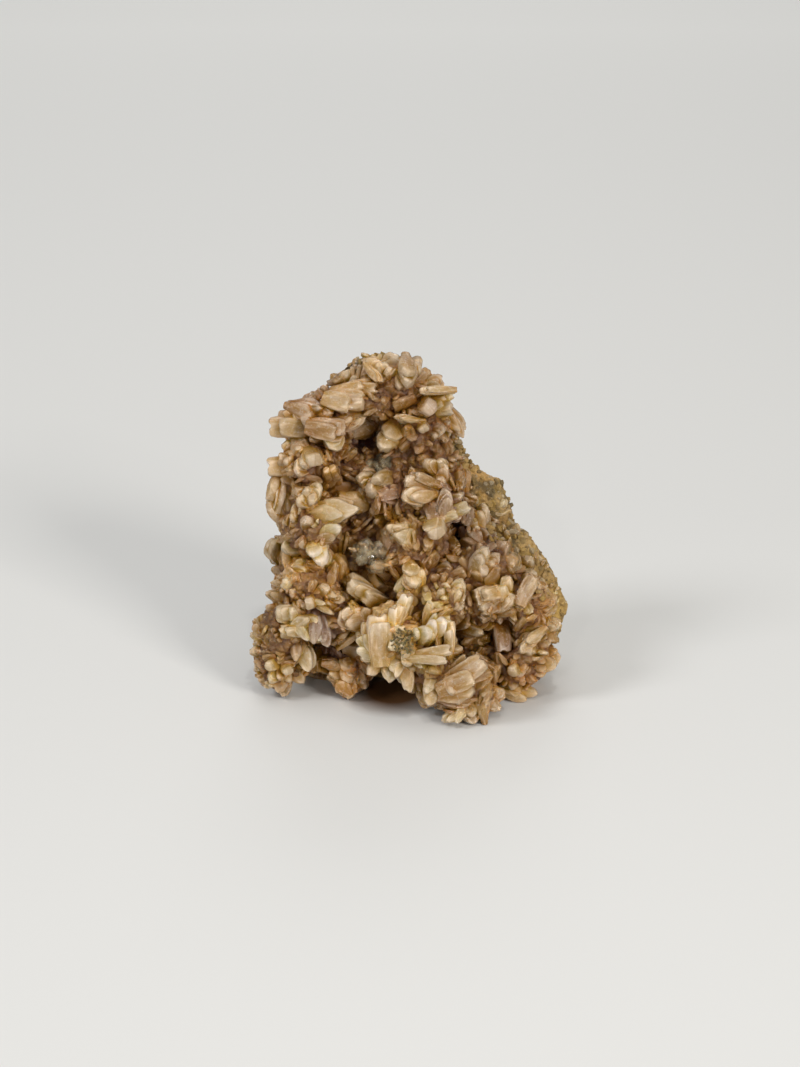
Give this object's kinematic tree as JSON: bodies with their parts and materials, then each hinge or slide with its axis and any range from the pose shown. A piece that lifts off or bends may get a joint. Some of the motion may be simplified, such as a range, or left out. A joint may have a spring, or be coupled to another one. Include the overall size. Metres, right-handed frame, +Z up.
{
  "type": "apophyllite and stilbite mineral specimen",
  "caption": "Upright hand specimen: peach bladed stilbite in sheaves and rosettes with clear apophyllite, on a broken basalt crust that it stands on.",
  "frame": {"origin": "middle of the bounding box, on the surface that the specimen stands on", "axes": "+Z up, -Y towards the viewer of the crystal face, +X to the viewer's right"},
  "size_m": [0.0697, 0.0461, 0.0714],
  "materials": {
    "stilbite": "glassy to pearly",
    "basalt": "rough, granular",
    "apophyllite": "clear, vitreous"
  },
  "bodies": {
    "root": {"stilbite": "stilbite", "basalt_matrix": "basalt", "apophyllite_lower": "apophyllite", "apophyllite_upper": "apophyllite"}
  },
  "joints": []
}
